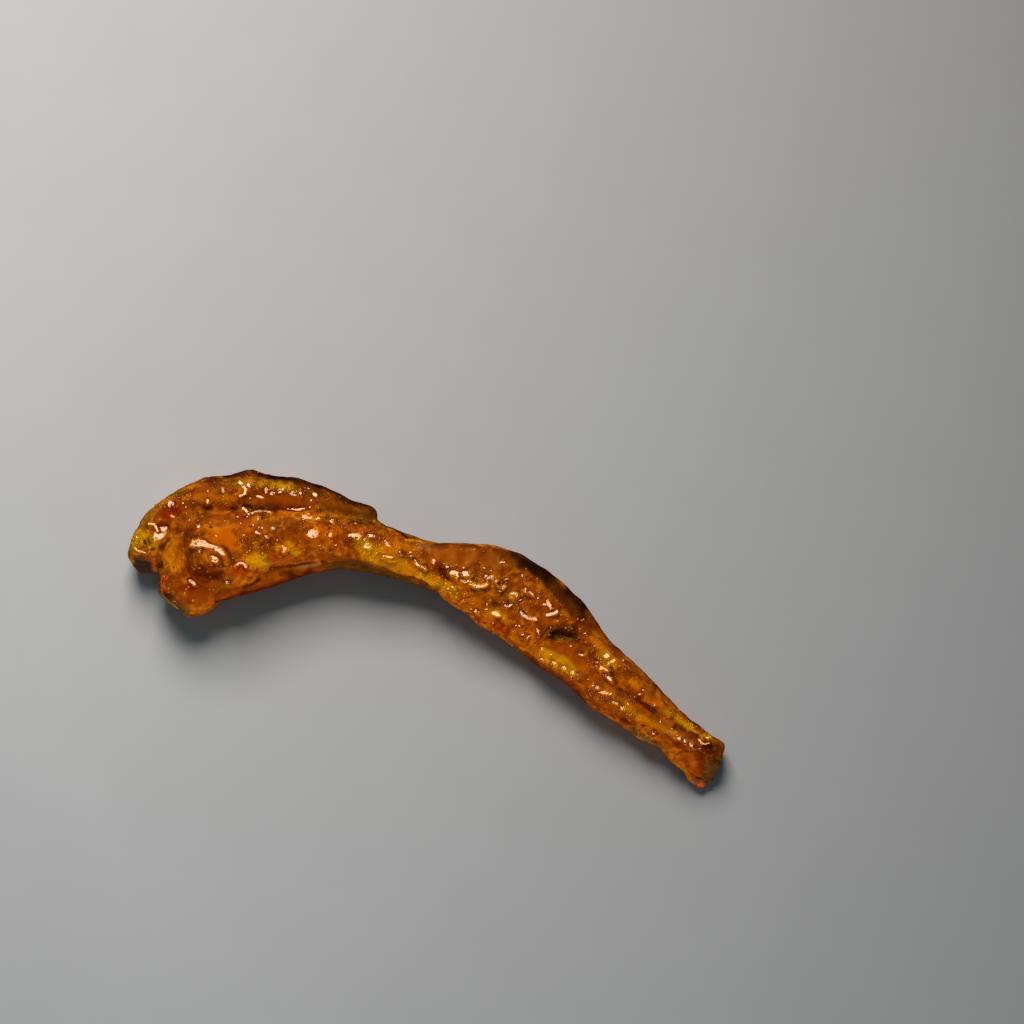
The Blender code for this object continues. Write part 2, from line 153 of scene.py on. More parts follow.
# Bands of colour on the upper side, some of them painted shade, sheen and highlight: tone, strength, half
# width in pixels, and the pixels they go through.
MEAT_BANDS = [
    # Broad tones of the flap, then the loin, the shaft, the blade and the tip.
    (RUST, 0.8, 20, (160, 520), (185, 500), (230, 494), (300, 499), (350, 508)),
    (RUST, 0.6, 8, (185, 500), (205, 492), (235, 495)),
    (AMBER, 0.8, 7, (200, 499), (232, 501), (262, 503)),
    (UMBER, 0.85, 12, (312, 496), (345, 507)),
    (ORANGE, 0.5, 18, (225, 525), (245, 528)),
    (RED_ORANGE, 0.9, 7, (230, 514), (244, 521)),
    (RUST, 0.85, 16, (262, 538), (300, 535)),
    (AMBER, 0.6, 11, (228, 584), (258, 568), (300, 556), (330, 556)),
    (RED_ORANGE, 0.6, 15, (325, 532), (345, 535)),
    (RUST, 0.6, 7, (350, 530), (352, 546)),
    (RUST, 0.9, 24, (190, 588), (208, 595)),
    (RUST, 0.5, 14, (350, 545), (372, 550)),
    (HONEY, 0.7, 13, (372, 554), (400, 566), (425, 578)),
    (BROWN, 0.85, 9, (378, 530), (400, 540), (412, 545)),
    (HONEY, 0.7, 4, (380, 530), (392, 531)),
    (RUST, 0.8, 24, (440, 556), (480, 566), (520, 590), (560, 645)),
    (AMBER, 0.7, 10, (430, 586), (470, 606), (510, 630), (545, 655)),
    (RUST, 0.7, 18, (585, 680), (650, 712), (700, 742)),
    # The knob at the flap's start, and its cut face.
    (HONEY, 0.85, 5, (133, 545), (139, 522), (158, 505), (180, 489), (200, 481), (225, 480)),
    (OLIVE_FAT, 0.7, 9, (142, 527), (152, 516)),
    (YELLOW, 0.8, 8, (139, 541), (145, 538), (152, 543)),
    (YELLOW, 1.0, 7, (132, 548), (136, 535)),
    (HONEY, 0.8, 4, (135, 552), (155, 551)),
    (CUT_END, 1.0, 12, (134, 565), (152, 569)),
    (OLIVE_FAT, 0.9, 3, (130, 551), (131, 563)),
    # Beside the knob.
    (RED, 1.0, 7, (165, 514), (176, 509)),
    (RUST, 1.0, 8, (174, 526), (176, 534)),
    (BROWN, 0.9, 6, (204, 480), (224, 484)),
    # The strip of fat along the flap.
    (OLIVE_FAT, 1.0, 4.5, (226, 481), (262, 483), (294, 486)),
    (YELLOW, 0.5, 3, (254, 481), (290, 485)),
    (YELLOW, 0.6, 6, (280, 484), (294, 487)),
    (HONEY, 0.6, 4, (250, 481), (262, 484)),
    (UMBER, 0.8, 5, (298, 488), (327, 493), (341, 502)),
    # The dark rim of skin behind it.
    (BLOOD, 1.0, 5, (226, 474), (245, 470), (259, 472), (275, 477), (303, 480), (327, 486)),
    (MAROON, 1.0, 4.5, (327, 486), (340, 495), (352, 503), (374, 508)),
    # The flap's smooth middle and its end, with painted shade in the crease under the end.
    (RUST, 0.9, 7, (272, 500), (303, 502)),
    (UMBER, 0.95, 8, (360, 514), (370, 515)),
    (OLIVE, 0.6, 7, (361, 514), (369, 515)),
    (MAROON, 0.6, 1.6, (351, 521), (362, 523), (374, 523)),
    # The crease between flap and loin, darkened with painted shade, and the ridge along it, with painted
    # shade below it.
    (DARK, 0.6, 2.5, (241, 504), (252, 509), (262, 510)),
    (DARK, 0.4, 2.5, (270, 513), (290, 511)),
    (UMBER, 0.8, 4, (318, 512), (345, 514)),
    (GOLD, 0.75, 5, (266, 518), (282, 515), (298, 513)),
    (GOLD, 1.0, 6, (302, 517), (345, 518)),
    (BROWN, 0.9, 6, (280, 526), (292, 528), (304, 524)),
    # The loin's hump.
    (BROWN, 0.6, 5, (258, 528), (272, 524)),
    (ORANGE, 0.7, 7, (318, 530), (330, 534)),
    (RED_ORANGE, 0.8, 6, (333, 546), (340, 540)),
    # The eye of the loin.
    (ORANGE, 1.0, 13, (214, 520), (220, 530), (226, 543)),
    (GOLD, 0.4, 5, (208, 523), (216, 530)),
    (ORANGE, 1.0, 6, (218, 514), (230, 516)),
    (RUST, 0.85, 4, (200, 518), (194, 531), (203, 541)),
    # The left lobe, and the valley beside it, darkened a little with painted shade.
    (GOLD, 1.0, 8, (172, 541), (165, 552), (162, 564)),
    (GOLD, 1.0, 9, (166, 560), (175, 565)),
    (GOLD, 1.0, 5, (160, 557), (160, 570)),
    (ORANGE, 1.0, 6, (157, 560), (158, 568)),
    (BROWN, 0.35, 6, (182, 535), (185, 550), (186, 566)),
    # The joint, and the moat round it, darkened with painted shade.
    (DARK, 0.9, 7, (199, 570), (208, 576), (218, 576)),
    (OLIVE_FAT, 0.5, 3, (196, 549), (199, 555)),
    (AMBER, 0.7, 6, (207, 556), (213, 560)),
    # The chine, its lip and its cut.
    (RED, 0.9, 5, (188, 588), (194, 587)),
    (RUST, 0.8, 9, (200, 594), (212, 592)),
    (AMBER, 1.0, 5, (188, 609), (198, 611), (208, 606)),
    (ORANGE, 0.9, 5, (212, 601), (232, 590), (252, 578)),
    (OLIVE_FAT, 0.9, 5, (221, 592), (226, 590)),
    (MOSS, 0.95, 5, (166, 590), (171, 598), (179, 607), (187, 613)),
    (MAROON, 0.8, 4, (166, 591), (170, 597)),
    (ORANGE, 1.0, 3, (163, 585), (164, 589)),
    (RED_ORANGE, 1.0, 8, (236, 571), (245, 567)),
    # Fat and red spots low on the loin.
    (BROWN, 0.5, 6, (252, 540), (262, 546)),
    (YELLOW, 1.0, 8, (253, 560), (262, 562)),
    (YELLOW, 0.85, 6, (290, 545), (294, 551)),
    (GOLD, 0.7, 7, (281, 550), (290, 548)),
    (RED_ORANGE, 0.6, 5, (270, 557), (284, 556)),
    # The lip over the bone, with painted shade in the crease under it.
    (RUST, 0.8, 6, (300, 559), (330, 556)),
    (MAROON, 1.0, 1.8, (271, 568), (288, 566), (300, 565), (310, 564)),
    # The waist and the shaft, with painted shade along the shaded flank under the waist and a painted sheen
    # near the shaft's far edge.
    (YELLOW, 0.75, 8, (360, 544), (378, 554)),
    (YELLOW, 0.6, 6, (374, 557), (388, 563)),
    (RUST, 0.8, 8, (346, 549), (352, 557)),
    (GOLD, 0.6, 7, (392, 548), (416, 550)),
    (HONEY, 0.6, 8, (378, 558), (405, 571), (430, 583)),
    (OLIVE, 1.0, 6, (341, 564), (360, 565), (385, 574), (412, 585)),
    (OLIVE, 1.0, 7, (338, 566), (356, 566)),
    (PALE, 0.5, 3, (418, 546), (436, 549)),
    # The far edge of the shaft.
    (YELLOW, 0.8, 1.5, (406, 540), (440, 542), (472, 543), (515, 549)),
    (RED_ORANGE, 0.8, 1.6, (376, 524), (392, 534), (404, 538)),
    (YELLOW, 0.8, 1.5, (374, 521), (384, 527)),
    (MAROON, 1.0, 2, (384, 523), (394, 528), (402, 533), (407, 538)),
    # The blade, with painted shade in its hollow and along its near edge.
    (DARK, 0.4, 6, (439, 569), (446, 576)),
    (YELLOW, 0.75, 6, (422, 576), (438, 584), (455, 592)),
    (UMBER, 0.4, 3.5, (412, 584), (436, 592)),
    (UMBER, 0.5, 7, (490, 602), (502, 606)),
    (HONEY, 0.6, 5, (508, 594), (516, 597)),
    (GOLD, 0.7, 8, (470, 580), (484, 585), (499, 590)),
    (HONEY, 0.6, 5, (454, 574), (470, 580)),
    (YELLOW, 0.8, 4, (493, 612), (503, 618)),
    (AMBER, 0.8, 6, (472, 590), (484, 597)),
    (RUST, 0.8, 7, (520, 622), (534, 636), (544, 642)),
    # The blade's far rim.
    (BLOOD, 1.0, 9, (514, 555), (530, 562), (546, 576)),
    (BLOOD, 0.9, 7, (520, 562), (530, 568)),
    (BLOOD, 0.85, 8, (546, 576), (560, 593), (580, 616)),
    (BLOOD, 1.0, 7, (570, 590), (584, 606)),
    (MAROON, 0.4, 6, (582, 614), (592, 630)),
    (UMBER, 0.9, 8, (500, 560), (512, 566)),
    (DARK, 0.7, 4, (482, 554)),
    (BROWN, 0.9, 8, (484, 552), (504, 555)),
    # The blade's near side and its end.
    (RED, 1.0, 6, (498, 626), (505, 630)),
    (RUST, 0.6, 6, (522, 626), (532, 632)),
    (RUST, 0.9, 9, (588, 638), (592, 660)),
    # The pit, darkened with painted shade, and the smooth sauce beside it.
    (MAROON, 0.95, 10, (554, 633), (571, 635)),
    (MAROON, 0.5, 3, (560, 627), (571, 627)),
    (RUST, 0.6, 12, (558, 648), (575, 660)),
    # The near edge, darkened with painted shade, and the far ridge, with a painted highlight on it.
    (YELLOW, 0.6, 6, (546, 653), (560, 660), (574, 670)),
    (DARK, 0.8, 5, (518, 650), (534, 663), (566, 683), (586, 699)),
    (YELLOW, 0.8, 2, (545, 659), (552, 663), (560, 668), (574, 674)),
    (HONEY, 0.7, 3, (592, 638), (602, 648), (614, 662)),
    (YELLOW, 0.5, 4, (600, 656), (613, 668)),
    # The upper side of the tip.
    (AMBER, 0.7, 7, (604, 673), (613, 682)),
    (GOLD, 0.6, 6, (604, 688), (612, 694)),
    (HONEY, 0.7, 7, (618, 704), (630, 711)),
    (HONEY, 0.5, 3, (629, 679), (633, 684)),
    (AMBER, 0.9, 9, (636, 684), (650, 697), (664, 706)),
    (YELLOW, 0.9, 4.5, (668, 714), (680, 720), (690, 727)),
    (AMBER, 1.0, 5, (660, 714), (672, 722)),
    (RED, 0.8, 3, (636, 699), (645, 705), (653, 712)),
    (BROWN, 0.9, 5, (618, 692), (634, 698), (642, 692)),
    (HONEY, 0.6, 3.5, (636, 716), (652, 723), (676, 733)),
    # The tip's end and its near flank, with a painted sheen on the flank.
    (RUST, 0.9, 5, (672, 750), (690, 741), (705, 747), (718, 746)),
    (MAROON, 0.9, 7, (708, 748), (719, 750), (717, 762)),
    (BROWN, 0.8, 6, (590, 695), (610, 709), (628, 719)),
    (DARK, 0.8, 3, (622, 720), (631, 724)),
    (MOSS, 0.9, 4, (634, 730), (646, 738), (664, 751)),
    (UMBER, 0.8, 6, (664, 750), (678, 762)),
    (HONEY, 0.7, 3, (672, 756), (681, 766), (690, 776)),
    # The painted sheen and the edges at the end.
    (DARK, 0.6, 4, (672, 742), (684, 747)),
    (PALE, 0.4, 2.5, (668, 732), (682, 736), (691, 743), (694, 750)),
    (YELLOW, 1.0, 2, (687, 727), (697, 733), (711, 738)),
    (MAUVE, 1.0, 5, (695, 781), (706, 781)),
    (MAROON, 0.6, 3, (713, 764), (710, 774)),
    (RED, 1.0, 3, (697, 786), (708, 786)),
]
BONE_BANDS = [
    # The strip in the hollow of the bow, darkened with painted shade along its lower edge and in the crease
    # over it.
    (AMBER, 0.8, 6, (240, 584), (275, 572), (300, 570)),
    (BROWN, 0.9, 5, (228, 601), (260, 588), (290, 581), (320, 572)),
    (DARK, 1.0, 7, (228, 603), (250, 596), (285, 585), (310, 576)),
    (DARK, 0.9, 2, (290, 565), (309, 563)),
    (MAROON, 0.8, 2.5, (244, 587), (260, 579)),
    (DARK, 0.6, 3.5, (282, 574), (297, 572)),
    (PALE, 1.0, 2, (298, 567), (308, 566), (320, 564)),
    # The bare shaft, its flank painted olive as shade.
    (OLIVE, 1.0, 8, (330, 568), (360, 567), (400, 581), (440, 596)),
    # The cut end at the tip.
    (BROWN, 1.0, 14, (684, 754), (698, 762)),
    (AMBER, 0.5, 3, (678, 757), (686, 752), (698, 752)),
    (AMBER, 0.5, 4, (690, 755), (694, 765)),
    (DARK, 0.5, 4, (700, 754), (701, 770)),
    (AMBER, 0.5, 3, (676, 759), (684, 768), (694, 778)),
    (OLIVE, 1.0, 9, (715, 760), (709, 780)),
    (MAUVE, 0.5, 3, (708, 764), (708, 776)),
    # The chopped end beside the loin.
    (LILAC, 1.0, 9, (164, 594), (178, 608)),
    (LILAC, 0.8, 3, (172, 603), (184, 612)),
]

STROKE_WARP = 0.7 * MM  # how ragged a stroke of relief is
STROKE_UNEVEN = 0.7  # how much its height varies, as a share of it
# Strokes of relief on the upper side: rise and half width in millimetres, and the pixels they go through.
STROKES = [
    # The crease and the ridge between flap and loin, and the crease of the lip.
    (0.25, 1.1, (176, 540), (197, 516), (215, 509), (232, 506)),
    (0.35, 1.2, (300, 510), (345, 517), (368, 522)),
    (-0.4, 0.8, (238, 503), (252, 509), (275, 513)),
    (0.6, 1.1, (256, 513), (282, 516), (306, 513)),
    (0.5, 1.4, (285, 523), (300, 517), (318, 518)),
    (-0.9, 0.6, (264, 568), (288, 566), (303, 565)),
    # The joint, the eye and the left lobe.
    (0.5, 1.8, (195, 552), (201, 570), (216, 576), (230, 570)),
    (1.0, 1.1, (192, 546), (206, 548), (217, 553), (224, 562)),
    (0.9, 1.6, (208, 559)),
    (0.9, 5.0, (216, 530)),
    (1.1, 2.6, (164, 571), (166, 558), (171, 545)),
    # The flap's rim, its end and its strip of fat.
    (0.8, 0.8, (229, 472), (232, 471)),
    (0.8, 0.8, (241, 469), (248, 471)),
    (-1.0, 0.9, (350, 521), (362, 523), (374, 523)),
    (0.5, 1.5, (228, 484), (262, 484), (296, 488)),
    # The loin's hump and fat spot.
    (0.9, 3.4, (311, 534), (322, 536)),
    (0.6, 1.4, (289, 543), (297, 552)),
    # The waist and the shaft.
    (-0.5, 3.0, (346, 538)),
    (0.7, 3.2, (366, 546), (392, 558)),
    # The blade.
    (-1.1, 1.7, (441, 570), (446, 577)),
    (0.7, 2.2, (452, 575), (475, 585), (495, 582)),
    (-0.6, 2.2, (495, 604), (506, 604)),
    (0.6, 1.4, (465, 596), (495, 613), (520, 632)),
    # The pit.
    (-1.1, 1.8, (555, 635), (570, 634)),
    (0.6, 0.5, (538, 642), (547, 634), (555, 628)),
    (0.5, 1.4, (548, 622), (562, 624), (574, 631)),
    # The tip.
    (0.5, 1.2, (590, 638), (602, 649), (616, 664)),
    (-0.4, 0.9, (622, 690), (640, 702), (655, 712)),
    (-0.4, 0.9, (676, 727), (700, 737)),
    (0.6, 1.2, (636, 717), (655, 726), (676, 736), (692, 747)),
    (0.7, 0.9, (703, 739), (708, 740)),
]
BONE_STROKES = [
    # The cut end at the tip: its dome, its seam and its pores.
    (1.2, 3.0, (688, 757), (700, 761)),
    (1.5, 1.6, (676, 757), (686, 751), (697, 751), (709, 758), (716, 764)),
    (1.0, 1.4, (678, 761), (690, 769), (700, 776), (710, 781)),
    (-0.5, 0.5, (707, 764), (710, 770)),
]

# Where the sauce lies smooth: half width in pixels, and the pixels that the smooth line goes through.
CALM = [
    (13, (215, 522), (225, 543)), (14, (200, 594), (214, 590)), (8, (268, 501), (305, 503)),
    (10, (440, 553), (500, 558)), (10, (552, 650), (578, 662)), (7, (170, 543), (166, 553)),
    (6, (640, 718), (680, 734)), (7, (325, 500), (345, 508)), (5, (360, 514), (370, 515)),
    (9, (135, 566), (150, 570)), (8, (516, 556), (546, 574), (582, 610)), (7, (684, 752), (694, 762)),
]
LINE_EDGE = (0.5, 1.1)  # where such a line starts to fade and where it has ended, as shares of its half width
CALM_FROM = 0.15  # share of the part's height below which no sauce is smooth
CALM_SMOOTHS = 0.75  # shares of the lumps, of the mottling and of the small things that smooth sauce lacks
CALM_EVENS = 0.7
CALM_EMPTIES = 0.85

# Pools of glaze that face halfway between the lens and the softbox: x, y, half length and half width, in
# pixels, and their turn in degrees.
POOLS = [
    (160, 534, 7, 4.4, 65), (171, 503.5, 2.8, 2.6, 0), (172, 516.5, 2.2, 1.3, -20),
    (207.5, 502, 3, 1.3, 90), (223, 490, 2.6, 1.3, 90), (198.3, 526, 2, 1.5, 60), (214, 559, 4.5, 2.5, -30),
    (200.6, 551, 2.5, 1.3, 30), (192.4, 582.4, 4, 1.6, -35), (228, 582.3, 2.2, 2, 0),
    (249, 485.5, 2, 1.4, -45), (260, 497, 3, 1.4, -20), (266, 490.5, 3.5, 1.3, 90),
    (272.5, 493.5, 2, 1.4, 20), (280.5, 490.5, 3, 2, 30), (294, 493.5, 3.6, 2.3, 0),
    (300.5, 493, 1.8, 2, 0), (315, 494.7, 2.5, 1.3, -20), (304.5, 517, 2, 1.3, 0),
    (309.7, 517, 3, 1.4, -60), (318, 518.8, 2.5, 1.5, 0), (332, 521, 2, 1.5, 45), (355.3, 524, 1.8, 1.6, 0),
    (313, 533.5, 5, 4, 0), (330.5, 535, 1.8, 1.8, 0), (258, 533, 3, 1.1, -35), (266.5, 537, 2.5, 1.2, -40),
    (273, 528.4, 2, 1.6, 0), (281.5, 544.5, 2.5, 1.2, -30), (285, 549, 3, 2, 90), (353, 535.5, 5, 1.6, -5),
    (357.5, 537, 3, 3, 0), (364.5, 541, 2.5, 2, 0), (367.5, 545.5, 3.2, 2.8, 0),
    (371.5, 535.5, 3.5, 1.6, -15), (388, 556.5, 4, 1.2, -15), (400, 554.5, 2.2, 1.3, 0),
    (387, 543.5, 4, 1.1, -45), (412, 557.5, 2.8, 1.2, -60), (417, 564, 3, 1.3, -40),
    (424.3, 568, 4, 1.1, -8), (433.5, 561.5, 2.5, 1.2, 90), (449, 567.5, 4.5, 1.2, -8),
    (455, 574.4, 5, 3, -20), (465.5, 573.8, 3.5, 2.5, -20), (506.7, 580, 2, 1.6, 0),
    (503.5, 585.8, 4, 1.3, 45), (513.8, 595, 3.5, 2.6, 0), (506.5, 605.5, 2.5, 1.1, -30),
    (510.5, 605.5, 2.5, 1.1, 35), (526.8, 591, 3.2, 2, -40), (531.7, 594, 3, 1.3, -45),
    (503, 562.5, 2.2, 1.1, -5), (453, 587, 2.2, 1.1, -40), (465, 600, 3.5, 1.3, 25),
    (477, 611.8, 3, 1.8, -50), (496, 614, 4, 1.8, -25), (538, 631.8, 3.5, 1.1, 105),
    (528.3, 637.5, 2.8, 1.1, 55), (542, 648.7, 2.4, 1.4, 15), (542, 659, 2, 1.4, 0),
    (554, 663, 2.2, 1.6, 0), (564.3, 668, 2.5, 1.6, -45), (572.5, 672.5, 2, 2, 0),
    (581, 654.8, 3, 1.1, -15), (597.5, 664.8, 4.5, 1.6, -60), (604, 669.3, 4, 3, -50),
    (608.3, 677.6, 4.5, 1.6, -45), (611.5, 662, 4, 1.5, 40), (606.5, 656, 2.5, 2, 0),
    (603.2, 692.7, 4.5, 1.2, -10), (597.5, 687.8, 2, 1.7, 0), (615.4, 703, 3, 1.4, -35),
    (623, 708.2, 2.5, 1.5, -20), (631.5, 714.8, 2.2, 1.3, 10), (653.6, 732.5, 1.9, 1.8, 0),
    (679, 738.5, 2, 1.3, 0), (685, 741.5, 2.5, 1.3, -35), (691, 745, 2.5, 1.4, -40),
    (706.5, 738.5, 2, 1, -30), (643.4, 726.7, 1.9, 1.3, 0),
]
# Longer pools: half width in pixels, and the pixels that they go through.
STREAKS = [
    (2.9, (192, 543), (203, 543)),
    (1.9, (204, 544), (213, 547), (220, 550), (225, 556), (227, 562)),
    (1.2, (149, 524), (154, 524), (158, 531)),
    (1.0, (163, 531), (166, 527)),
    (1.0, (135, 549), (141, 552), (147, 552), (153, 549)),
    (1.2, (239.5, 482), (243, 485), (245.5, 489), (245, 494), (240, 496)),
    (1.2, (236, 566), (240, 563), (243, 563), (246, 567)),
    (1.1, (189, 580.5), (195, 584)),
    (1.0, (243, 508), (246, 510.5), (248.5, 514)),
    (0.9, (252, 513), (258, 511), (266, 511), (272.5, 512.5)),
    (1.0, (288, 508.5), (296, 509.5), (304, 508.5)),
    (1.0, (303, 519), (306, 516), (309, 519), (312, 517)),
    (1.1, (283, 553), (285, 549), (282, 545)),
    (1.3, (414, 559), (418, 565), (426, 569)),
    (1.5, (461, 579.5), (470, 583), (477, 586.5), (484, 586), (487, 584)),
    (1.7, (486, 576.5), (492, 577.5), (497, 582), (499.5, 585)),
    (1.4, (521, 612), (525, 616), (529, 618.5), (536, 619.5)),
    (1.1, (542, 604.5), (550, 605)),
    (1.1, (547, 600), (551, 608)),
    (1.5, (547, 615), (553, 613.5), (557, 611.5)),
    (1.3, (500, 584), (503, 588), (506, 584)),
    (0.9, (698.5, 739), (701, 742.5), (705, 744), (709.5, 742.5)),
]
FILM = (0.4, 0.85)  # the clear film's weight on the faintest and the brightest pools
FLANK_FILM = 0.6  # and its weight on the flanks
POOL_MARGIN = 1.8  # how far round a pool the skin is finer, in pixels
POOL_HOLD = 0.95  # how far a pool levels what is under it
POOL_LEVEL = 0.7  # how high a pool stands in the relief under it: 0 at its lowest point, 1 at its highest
POOL_REACH = 2.6 * MM  # the most that a pool moves a point
POOL_DEPTH = 3.0 * MM  # what lies further below a pool belongs to another layer
POOL_EDGE = (0.9, 1.3)  # where a pool's film starts to end and where it has ended, as shares of its half size
POOL_SLOPE = (1.1, 2.3)  # the same for the oily sauce that slopes towards it
POOL_LIFTS = 0.85  # share of the hollows' darkening, sauce and painted shade, that a pool takes away
SHINY = 0.12  # roughness of the oily sauce next to a pool, and of the sauce elsewhere
DULL = 0.5
WAVER_SIZE = 1.2 * MM  # how uneven a pool's outline is: the length of the waves and their height
WAVER_REACH = 0.25 * MM

# Single drops of glaze that catch the light, in pixels.
DROPS = [
    (208, 491), (198, 520.5), (180, 495.5), (183, 503), (311, 500.5), (305, 488), (308, 488.5), (262, 528),
    (244, 534.5), (362, 532.5), (358.5, 546), (399.5, 551.5), (421, 559), (463, 567.5), (520.5, 600),
    (538, 598), (522, 575.5), (525, 576.5), (471.5, 608.5), (486.5, 609), (478.5, 619), (493, 623),
    (511, 621.5), (516, 625.5), (519, 625.5), (514, 631), (522.5, 634.5), (551, 654.5), (577, 674.5),
    (585, 633.5), (594.5, 646), (571, 646), (623, 660.5), (619.5, 666), (625, 669), (593, 685.5),
    (669, 716.5), (707.5, 738), (384, 556), (161, 507), (238, 517), (247, 517), (258, 517), (216, 536),
    (210, 523), (247, 552), (277, 540), (300, 541), (320, 545), (336, 545), (345, 528), (258, 519),
    (253, 525), (172, 536), (180, 498), (186, 507), (223, 496), (250, 498), (285, 556), (262, 553),
    (302, 497), (310, 507), (318, 508), (410, 552), (406, 563), (394, 561), (376, 553), (372, 559),
    (382, 565), (441, 584), (449, 588), (446, 591), (433, 583), (427, 577), (457, 596), (487, 604),
    (500, 591), (491, 570), (484, 568), (557, 668), (566, 672), (571, 677), (588, 679), (610, 694),
    (628, 704), (660, 722), (655, 705), (643, 690), (640, 694), (672, 729), (677, 735), (699, 748),
    (690, 749), (164, 586), (168, 577), (175, 601), (193, 600), (203, 609), (214, 596), (230, 590),
    (150, 547), (137, 537), (148, 531), (140, 531), (155, 540), (674, 737.5), (682, 741), (687, 742),
    (693, 748), (696, 751),
]

# Small things on the meat: how many, and their smallest and largest radius in millimetres.
GRAIN_COUNT = 3800
GRAIN_ROOTS = (0.4, 0.72)  # the square roots of the grains' radii, so that most are small
BEAD_COUNT = 120
BEAD_SIZE = (0.15, 0.35)
DROP_SIZE = (0.2, 0.45)
GLINT_COUNT = 3800
GLINT_SIZE = (0.22, 0.55)
SEED_SIZE = (0.6, 0.9)
# The form of each: flatness, length, how deep it sinks and how uneven it is, as shares of its radius, and the
# darkest and lightest that its tint may be, as shares of the skin's.
GRAIN_FORM = (0.7, 1.2, 0.3, 0.15, 0.8, 1.5)
BEAD_FORM = (0.18, 1.9, 0, 0.02, 0.9, 1.5)
GLINT_FORM = (0.08, 1.4, 0, 0, 1.0, 1.6)
SEED_FORM = (0.85, 1.1, 0.35, 0.03, 0.8, 1.3)
# How deep the strewn and the placed solids sink, and how uneven they are.
STREWN_LIE = (0.1, 0.2)
PLACED_LIE = (0.35, 0.06)
# How likely they are on steep and on wet places, where 1 is level and dull, and glints off the lines below.
STEEP_CHANCE = 0.3
WET_CHANCE = 0.35
STRAY_GLINTS = 0.08
# Where the sauce glints golden: half width in pixels, and the pixels that the line goes through.
GLEAMS = [
    (5, (420, 575), (440, 586), (457, 594)), (4, (540, 658), (576, 678)), (5, (400, 552), (432, 572)),
    (7, (137, 540), (150, 548)), (5, (162, 562), (172, 568)), (4, (188, 610), (208, 606)),
    (5, (253, 484), (300, 492)), (5, (303, 517), (340, 523)), (8, (350, 540), (380, 556)),
    (8, (445, 570), (500, 586)), (7, (505, 598), (520, 614)), (6, (590, 690), (640, 720)),
    (4, (640, 716), (690, 745)), (4, (664, 708), (716, 738)), (6, (150, 503), (185, 492)),
    (8, (240, 540), (290, 552)), (7, (590, 655), (612, 672)), (5, (455, 592), (480, 612)),
]
# Solids: name, colour, smallest and largest radius in millimetres, flatness, length, and how many are strewn
# or in which pixels they lie.
SOLIDS = [
    ("pepper_specks", srgb(96, 52, 12), 0.15, 0.3, 0.6, 1.2, 50),
    ("chilli_flakes", srgb(138, 32, 4), 0.3, 0.6, 0.2, 1.5, 30),
    ("gold_specks", srgb(240, 170, 30), 0.14, 0.32, 0.8, 1.2, 300),
    ("black_seeds", srgb(84, 56, 16), 0.45, 0.75, 0.7, 1.3, [
        (145, 542), (262, 518), (211, 527), (330, 550), (329, 528), (350, 524), (437, 590), (526, 577),
        (579, 681),
    ]),
    ("herb_flakes", srgb(88, 66, 16), 0.6, 0.9, 0.3, 1.7, [
        (201, 513), (182, 537), (263, 519), (507, 579), (466, 593), (569, 629), (508, 554),
    ]),
    ("red_pulp", srgb(224, 78, 18), 0.8, 1.2, 0.6, 1.3, [
        (163.5, 585.5), (161, 582), (165, 589), (165, 579), (162, 577), (168, 591), (700, 785), (704, 788),
        (707, 786),
    ]),
]
# Pale seeds that the sauce covers, in pixels.
PALE_SEEDS = [
    (263, 550), (232, 491), (302, 498), (188, 593), (235, 568), (400, 548), (475, 562), (507, 583),
    (535, 646), (601, 663), (635, 697), (675, 732), (467, 594), (164, 577), (514, 596), (559, 625),
]


def at_photo(px, py):
    """The x and y of a pixel of the photograph."""
    return (px - ORIGIN_PIXEL[0]) * PIXEL, (ORIGIN_PIXEL[1] - py) * PIXEL


def line_at_photo(line):
    return np.array([at_photo(px, py) for px, py in line])


def camera_place():
    return np.array((*at_photo(PHOTO_SIZE / 2, PHOTO_SIZE / 2), SHARP_HEIGHT + CAMERA_HEIGHT))


def seen_at(points):
    """The x and y of the points as the lens sees them, where at_photo() measures."""
    lens = camera_place()
    return lens[:2] + (points[:, :2] - lens[:2]) * CAMERA_HEIGHT / (lens[2] - points[:, 2:3])


def under_pixel(tree, px, py):
    """The point that the lens sees at a pixel of the photograph, and the normal there, or two Nones."""
    lens = Vector(camera_place())
    aim = Vector((*at_photo(px, py), SHARP_HEIGHT)) - lens
    return tree.ray_cast(lens, aim.normalized())[:2]


def noise_at(points, size, shift=0.0):
    """Smooth noise from -1 to 1 at the points, with lumps of that size."""
    return np.array([noise.noise(Vector(p)) for p in (points / size + shift).tolist()])


def noise_pair(points, size, *shifts):
    """Two such noises side by side, to shift with them what is seen from above."""
    return np.stack([noise_at(points, size, shift) for shift in shifts], axis=1)


def cells_at(points, size):
    """1 at the middle of a cell of a crackle pattern of that size, falling to 0 at its edge."""
    near = np.array([noise.voronoi(Vector(p))[0][:2] for p in (points / size).tolist()])
    return np.clip(near[:, 1] - near[:, 0], 0, 1)


def off_line(seen, line, wide):
    """How far the points seen lie from a line of pixels, or from its one pixel, in shares of a half width."""
    line = line_at_photo(line)
    best = np.linalg.norm(seen - line[0], axis=1)
    for start, end in zip(line, line[1:]):
        run = end - start
        share = np.clip((seen - start) @ run / (run @ run), 0, 1)
        best = np.minimum(best, np.linalg.norm(seen - start - share[:, None] * run, axis=1))
    return best / wide


def smooth_step(value, low, high):
    share = np.clip((value - low) / (high - low), 0, 1)
    return share * share * (3 - 2 * share)


def at_least(low, share):
    """The share, squeezed so that it goes from low to 1."""
    return low + (1 - low) * share


def toward(tint, tone, share):
    """The tint at each point, going to a tone as the share there goes to 1."""
    share = share[:, None]
    return tint * (1 - share) + np.array(tone) * share


def unit(vectors):
    return vectors / np.linalg.norm(vectors, axis=-1, keepdims=True)


